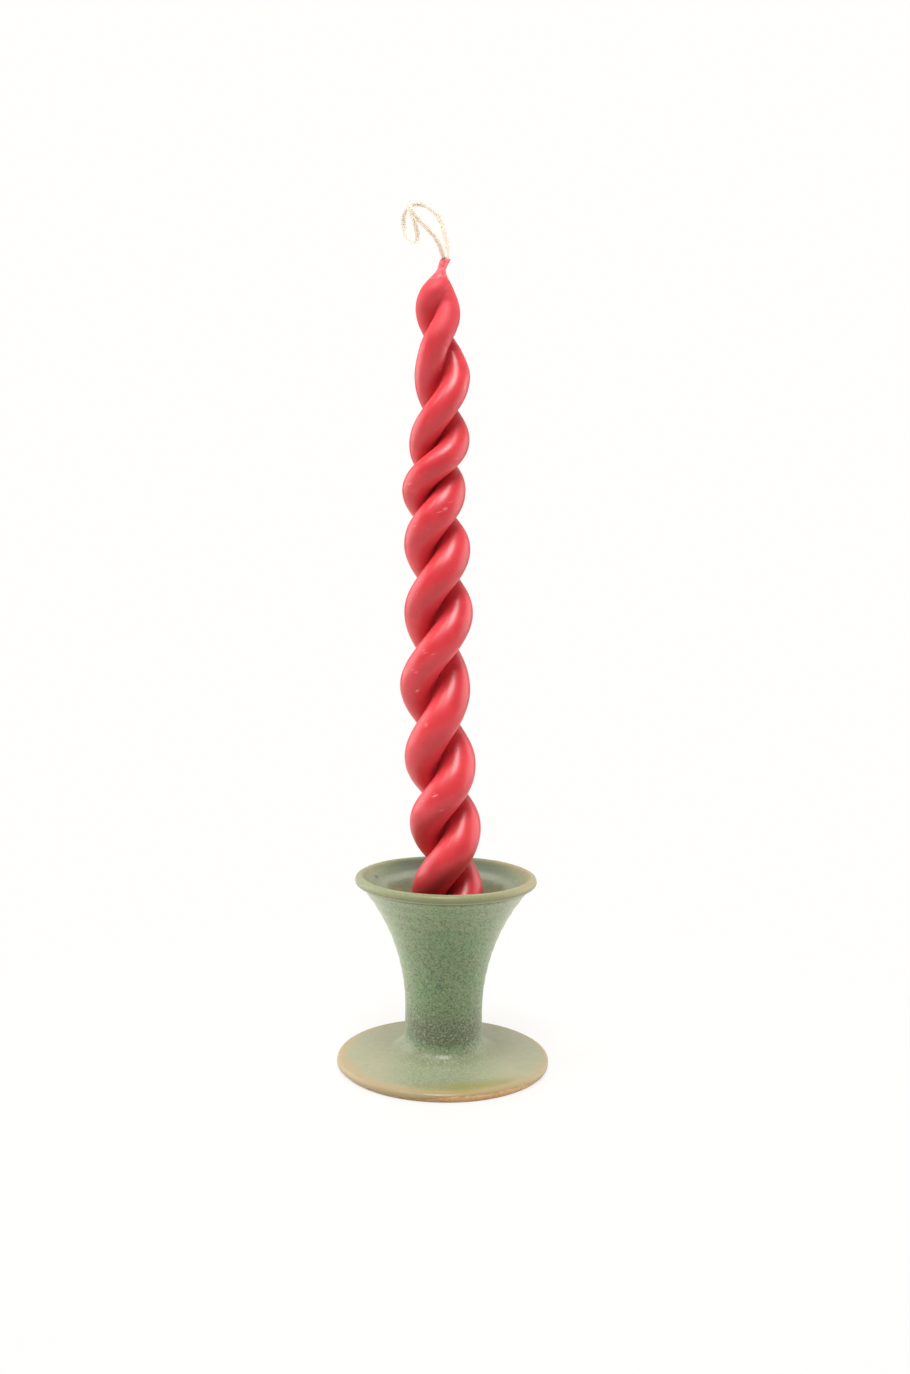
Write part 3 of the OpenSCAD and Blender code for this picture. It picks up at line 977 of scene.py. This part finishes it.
def holder_outline():
    """Radius and height of the outline's points from the underside up and in, and the crease's number."""
    edge_c = np.array([FOOT_R - FOOT_EDGE / 2, FOOT_EDGE / 2])
    slope = math.degrees(math.atan(FOOT_RISE / (edge_c[0] - STEM_R)))
    corner = np.array([STEM_R, FOOT_EDGE + FOOT_RISE])
    run = FOOT_FILLET * math.tan(math.radians(90 - slope) / 2)
    fillet_c = corner + [FOOT_FILLET, run]
    lip_c = np.array([LIP_D / 2 - LIP_R, HOLDER_H - LIP_R])
    flare_run = np.array([LIP_D / 2 - LIP_LAP - STEM_R, lip_c[1] - FLARE_Z])
    flare_r = flare_run @ flare_run / (2 * flare_run[0])
    flare_c = np.array([STEM_R + flare_r, FLARE_Z])
    flare_end = 180 - math.degrees(math.asin(flare_run[1] / flare_r))
    dish_edge = np.array([DISH_R, HOLDER_H - DISH_DEPTH])
    mouth = np.array([BORE_R, dish_edge[1] - DISH_FALL])
    seat = mouth[1] - SOCKET_DEPTH
    to_lip = lip_c - dish_edge
    reach = np.linalg.norm(to_lip)
    side = math.degrees(math.atan2(to_lip[1], to_lip[0]) + math.asin(LIP_R / reach))
    fall = 180 + math.degrees(math.atan2(DISH_FALL, DISH_R - BORE_R))
    dish_run = DISH_FILLET * math.tan(math.radians(side + 180 - fall) / 2)
    side_end = dish_edge + dish_run * polar(side)
    floor_end = dish_edge + dish_run * polar(fall)
    dish_c = side_end + DISH_FILLET * polar(side + 90)
    mouth_c = mouth + [MOUTH_ROUND, -MOUTH_ROUND]

    flare = arc(flare_c, flare_r, 180, flare_end, COARSE)
    flare = [p for p in flare if np.linalg.norm(p - lip_c) > LIP_R]
    meet = flare[-1] - lip_c
    lip_start = math.degrees(math.atan2(meet[1], meet[0]))
    points = line((UNDERSIDE_R, 0), (edge_c[0], 0), FLAT)
    points += arc(edge_c, FOOT_EDGE / 2, -90, 90, FINE)
    points += line((edge_c[0], FOOT_EDGE), corner + run * polar(-slope), COARSE)
    points += arc(fillet_c, FOOT_FILLET, 270 - slope, 180, COARSE)
    points += line((STEM_R, fillet_c[1]), (STEM_R, FLARE_Z), COARSE)
    points += flare
    crease = len(points)
    points += arc(lip_c, LIP_R, lip_start, side + 90, FINE)
    points += line(lip_c + LIP_R * polar(side + 90), side_end, COARSE)
    points += arc(dish_c, DISH_FILLET, side - 90, fall - 270, COARSE)
    points += line(floor_end, mouth_c + MOUTH_ROUND * polar(fall - 90), COARSE)
    points += arc(mouth_c, MOUTH_ROUND, fall - 90, 180, FINE)
    points += line((BORE_R, mouth_c[1]), (BORE_R, seat), BORE_STEP)
    points += line((BORE_R, seat), (SEAT_R, seat), FLAT)
    return np.array(points), crease


def make_holder(material):
    """The holder, a little uneven as thrown by hand, with its glaze standing proud of the bare clay."""
    outline, crease = holder_outline()
    theta = np.linspace(0, 2 * math.pi, HOLDER_SIDES, endpoint=False)
    ring = np.stack([np.cos(theta), np.sin(theta)], axis=-1)
    r, z = outline[:, :1], outline[:, 1:]
    level = np.broadcast_to(z, (len(r), HOLDER_SIDES))
    points = np.stack([r * ring[:, 0], r * ring[:, 1], level], axis=-1)
    normals = grid_normals(points)
    turn = theta[None, :]

    outside = (r > BORE_R + BORE_MARGIN) * np.ones_like(turn)
    inside = np.arange(len(outline))[:, None] > np.argmax(z)
    upright = step(z, THROW_START, FOOT_EDGE)
    foot = step(r, FOOT_WAVE_START, FOOT_R) * (z < FOOT_EDGE + FOOT_RISE)
    lip = step(z, HOLDER_H - LIP_DEPTH[0], HOLDER_H - LIP_DEPTH[1]) * step(r, *LIP_RADIUS)
    throw = np.sin(2 * math.pi * z / THROW_PITCH + turn) * upright * (1 - lip)
    move = outside * THROW_DEPTH * throw
    move = move + lip * (LIP_BEAD + LIP_WAVE * rough(points, LIP_WAVE_SIZE, seed=11))

    bare = bare_share(points, r, z, turn)
    move = move - GLAZE_SKIN * bare * step(z, *GLAZE_SKIN_Z)

    from_crease = np.linalg.norm(outline - outline[crease], axis=1)[:, None]
    pooled_and_shaded = np.exp(-(from_crease / CREASE_SIZE) ** 2) * np.ones_like(turn)
    pit = pit_share(points, inside)
    move = move - PIT_DEPTH * pit - CREASE_DEPTH * pooled_and_shaded
    moved = points + move[..., None] * normals
    pull = FOOT_WAVE * foot * (rough(points * LEVEL, FOOT_WAVE_SIZE, seed=13) - FOOT_IN)
    pull = pull + FOOT_FRONT * foot * step(-points[..., 1], *FOOT_FRONT_Y)
    moved[..., 0] += pull * ring[:, 0]
    moved[..., 1] += pull * ring[:, 1]

    flare_sheen = FOOT_SHEEN + (FLARE_SHEEN - FOOT_SHEEN) * z / HOLDER_H
    sheen = np.where(inside, DISH_SHEEN, flare_sheen) * (1 - LIP_DULL * lip)
    painted_shade = DUSK_SHARE * np.exp(-((z - DUSK_Z) / DUSK_SIZE) ** 2) * step(z, DUSK_START, DUSK_FULL)
    marks = {
        "sheen": sheen * np.ones_like(turn),
        "bare": bare,
        "pit": pit,
        "crease": pooled_and_shaded,
        "painted_shade": painted_shade * step(-points[..., 1], *DUSK_FRONT),
        "lip": lip * (LIP_SHARE + LIP_MOTTLE * rough(points, LIP_MOTTLE_SIZE, seed=14)),
        **dish_shares(points, inside),
        **foot_shares(points, r, z),
    }
    marks["rim"] = marks["rim"] + LIP_TAN * lip * step(points[..., 0], *LIP_TAN_X)
    # The painted light on the dish's sides goes into the same mark as the foot's pale glaze
    marks["pale"] = marks["pale"] + marks.pop("side")
    # The painted shade on the foot's front joins the painted shade on the stem
    marks["painted_shade"] = np.maximum(marks["painted_shade"], marks.pop("dim"))
    faces = tube_faces(len(outline), HOLDER_SIDES) + end_faces(len(outline), HOLDER_SIDES)
    piece = make_piece("glazed_holder", moved, faces, material, "holder", marks)
    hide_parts("holder")


def bare_share(points, r, z, turn):
    """How bare of glaze each point is: the underside, and the foot's edge up to a ragged line."""
    from_middle = np.angle(np.exp(1j * (turn - math.radians(LIFT_ANGLE))))
    lift = GLAZE_LIFT * np.exp(-((from_middle / math.radians(LIFT_HALF)) ** LIFT_POWER))
    ragged = GLAZE_RAGGED * rough(points * GLAZE_RAGGED_STRETCH, GLAZE_RAGGED_SIZE, seed=12)
    edge = GLAZE_Z + lift + ragged
    bare = (1 - step(z, edge - GLAZE_EDGE, edge + GLAZE_EDGE)) * (r > BARE_R)
    return np.maximum(bare, (z < BARE_Z) * np.ones_like(turn))


def dish_shares(points, inside):
    """How grey the dish's wall is at each point, how much painted light its sides have, how pale its ledge
    is, partly a painted highlight, and how brown its floor, partly painted shade.
    """
    ragged = DISH_RAGGED * rough(points, DISH_RAGGED_SIZE, seed=17)
    r = np.hypot(points[..., 0], points[..., 1]) + ragged
    # Painted light: the dish's wall paler aside, away from the candle's shade
    side = SIDE_PAINTED_LIGHT * step(np.abs(points[..., 0]), *SIDE_X) * step(r, *SIDE_IN)
    return {
        "side": inside * side,
        "wall": (WALL_SHARE - side) * inside * (1 - step(r, *WALL_OUT)),
        "ledge": LEDGE_SHARE * inside * step(r, *LEDGE_IN) * (1 - step(r, *LEDGE_OUT)),
        "dish": BROWN_SHARE * inside * (1 - step(r, *BROWN_OUT)),
    }


def foot_shares(points, r, z):
    """How pale the foot's glaze is at each point, partly with painted light, how much painted shade its front
    has, how yellow it pools, and how tan the rim is.
    """
    x, y = points[..., 0], points[..., 1]
    foot = (z < FOOT_EDGE + FOOT_RISE + FOOT_MARGIN) * (r > STEM_R)
    low = (1 - step(z, FILLET_LOW, DUSK_FULL)) * (r > STEM_R)
    uneven = rough(points, THIN_RAGGED_SIZE, seed=15)
    aside = np.maximum(step(np.abs(x) + THIN_RAGGED * uneven, *ASIDE_X), step(y, *ASIDE_Y))
    thin_and_painted_light = THIN_FRONT + (THIN_SIDE - THIN_FRONT) * aside
    pool_x = x + POOL_RAGGED * rough(points, POOL_RAGGED_SIZE, seed=16)
    pool = step(-y, *POOL_FRONT) * step(pool_x, *POOL_X) * step(r, *POOL_RADIUS)
    rim_start = RIM_R + RIM_RAGGED * uneven - RIM_WIDER * step(-x, *RIM_WIDER_X)
    return {
        "pale": thin_and_painted_light * low,
        "dim": FOOT_PAINTED_SHADE * (1 - aside) * low,
        "yellow": POOL_SHARE * pool * foot,
        "rim": RIM_SHARE * step(r, rim_start, rim_start + RIM_FADE) * foot,
    }


def pit_share(points, inside):
    """A pinhole in the part of the dish that the photograph shows, at the point nearest to its pixel."""
    col, row, depth = to_pixels(points)
    seen = inside & (points[..., 2] > HOLDER_H - DISH_SEEN_DEPTH) & (points[..., 1] > DISH_SEEN_Y)
    far = np.hypot(col - PIT_PIXEL[0], row - PIT_PIXEL[1])
    place = points.reshape(-1, 3)[np.argmin(np.where(seen, far, np.inf))]
    return np.exp(-(np.linalg.norm(points - place, axis=-1) / PIT_SIZE) ** 2)


# Stage and light

FLOOR_HALF = 4000
# Strength of the tent's light in front and behind, and how far forward its wall reaches
TENT_FRONT = 0.09
TENT_BACK = 0.54
TENT_EDGE = -0.3
PAPER = (0.62, 0.60, 0.57)
WHITE = (1.0, 0.994, 0.976)
# Distances from the object, in metres, between which the floor's shadow fades into the ground
NEAR_FLOOR = 0.06
FAR_FLOOR = 0.22
# How much of the white ground shows through next to the object
GROUND_SHARE = 0.82


def make_floor():
    """A pale floor that keeps the shadow near the object and runs into the white ground behind it."""
    material, tree, shader = new_material("paper")
    shader.inputs["Base Color"].default_value = (*PAPER, 1)
    shader.inputs["Roughness"].default_value = 0.9
    place = tree.nodes.new("ShaderNodeTexCoord")
    distance = tree.nodes.new("ShaderNodeVectorMath")
    distance.operation = "LENGTH"
    put(distance.inputs[0], place.outputs["Object"])
    path = tree.nodes.new("ShaderNodeLightPath")
    glow = tree.nodes.new("ShaderNodeEmission")
    glow.inputs["Color"].default_value = (*WHITE, 1)
    far = between(tree, distance.outputs["Value"], NEAR_FLOOR, FAR_FLOOR, GROUND_SHARE, 1)
    blend = tree.nodes.new("ShaderNodeMixShader")
    put(blend.inputs[0], times(tree, far, path.outputs["Is Camera Ray"]))
    put(blend.inputs[1], shader.outputs["BSDF"])
    put(blend.inputs[2], glow.outputs["Emission"])
    put(tree.nodes["Material Output"].inputs["Surface"], blend.outputs["Shader"])
    mesh = bpy.data.meshes.new("floor")
    half = FLOOR_HALF * MM
    corners = [(-half, -half, 0), (half, -half, 0), (half, half, 0), (-half, half, 0)]
    mesh.from_pydata(corners, [], [(0, 1, 2, 3)])
    mesh.materials.append(material)
    floor = bpy.data.objects.new("floor", mesh)
    bpy.context.scene.collection.objects.link(floor)


def make_world():
    """Light from a white tent that is open towards the camera, in front of a white ground."""
    world = bpy.data.worlds.new("tent")
    world.use_nodes = True
    tree = world.node_tree
    light = tree.nodes["Background"]
    light.inputs["Color"].default_value = (*WHITE, 1)
    place = tree.nodes.new("ShaderNodeTexCoord")
    parts = tree.nodes.new("ShaderNodeSeparateXYZ")
    put(parts.inputs[0], place.outputs["Generated"])
    put(light.inputs["Strength"], between(tree, parts.outputs["Y"], TENT_EDGE, 1, TENT_FRONT, TENT_BACK))
    ground = tree.nodes.new("ShaderNodeBackground")
    ground.inputs["Color"].default_value = (*WHITE, 1)
    path = tree.nodes.new("ShaderNodeLightPath")
    blend = tree.nodes.new("ShaderNodeMixShader")
    put(blend.inputs[0], path.outputs["Is Camera Ray"])
    put(blend.inputs[1], light.outputs["Background"])
    put(blend.inputs[2], ground.outputs["Background"])
    put(tree.nodes["World Output"].inputs["Surface"], blend.outputs["Shader"])
    bpy.context.scene.world = world


def make_lamp(name, place, size, power):
    """A soft square lamp that points at the middle of the object."""
    data = bpy.data.lights.new(name, "AREA")
    data.size = size * MM
    data.energy = power
    lamp = bpy.data.objects.new(name, data)
    lamp.location = Vector(place) * MM
    way = Vector(MIDDLE) - Vector(place)
    lamp.rotation_euler = way.to_track_quat("-Z", "Y").to_euler()
    bpy.context.scene.collection.objects.link(lamp)


# What the lamps point at, and each lamp's name, place, size and power in watts
MIDDLE = (0, 0, 150)
LAMPS = [
    ("top_lamp", (0, -675, 1650), 675, 30),
    ("key_lamp", (-900, -600, 1650), 600, 10),
    ("back_lamp", (0, 600, 1000), 700, 4),
    ("left_lamp", (-750, 180, 260), 800, 6),
    ("right_lamp", (750, 180, 260), 800, 5),
]

make_camera()
make_wick_loop(cotton_material("cotton", STRING_REACH))
make_tapers(wax_material())
make_holder(glaze_material())
core_cotton = cotton_material("core_cotton", CORE_REACH)
for core in ("wick_core_a", "wick_core_b"):
    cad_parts[core].data.materials.clear()
    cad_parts[core].data.materials.append(core_cotton)
make_floor()
make_world()
for lamp_name, lamp_place, lamp_size, lamp_power in LAMPS:
    make_lamp(lamp_name, lamp_place, lamp_size, lamp_power)
bpy.context.scene.view_settings.view_transform = "Standard"
